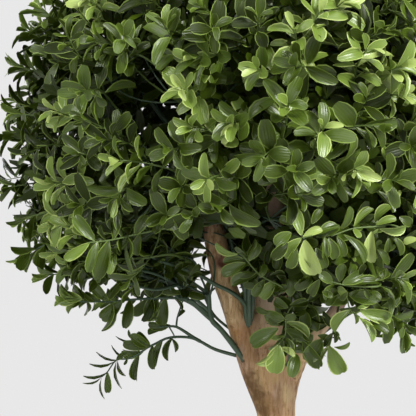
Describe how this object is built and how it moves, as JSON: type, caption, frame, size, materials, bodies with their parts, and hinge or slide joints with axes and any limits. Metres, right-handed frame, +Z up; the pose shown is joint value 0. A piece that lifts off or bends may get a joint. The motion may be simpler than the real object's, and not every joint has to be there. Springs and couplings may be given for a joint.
{
  "type": "artificial potted double ball topiary",
  "caption": "Artificial topiary: two balls of small-leaved foliage on one natural pole that forks inside the upper ball, set in a plain filled pot.",
  "frame": {"origin": "middle of the pot's flat underside", "axes": "+Z up along the pole, -Y towards the open side of the upper ball, where the fork shows"},
  "size_m": [0.4634, 0.4457, 1.4599],
  "materials": {
    "pot": "moulded matte charcoal plastic",
    "fill": "dark earth-brown fill",
    "bark": "stripped natural pole, satin",
    "foliage": "satin moulded leaves"
  },
  "bodies": {
    "root": {"pot": "pot", "pot_fill": "fill", "trunk": "bark", "bough_left": "bark", "bough_leader": "bark", "bough_right": "bark", "bough_back": "bark", "loose_spray": "foliage", "lower_mass_high_back_left": "foliage", "lower_mass_high_back_right": "foliage", "lower_mass_high_front_left": "foliage", "lower_mass_high_front_right": "foliage", "lower_mass_low_back": "foliage", "lower_mass_low_front": "foliage", "lower_mass_low_left": "foliage", "lower_mass_low_right": "foliage", "upper_mass_back": "foliage", "upper_mass_front": "foliage", "upper_mass_left": "foliage", "upper_mass_low_back_left": "foliage", "upper_mass_low_back_right": "foliage", "upper_mass_low_front_left": "foliage", "upper_mass_low_front_right": "foliage", "upper_mass_right": "foliage", "upper_mass_top": "foliage"}
  },
  "joints": []
}
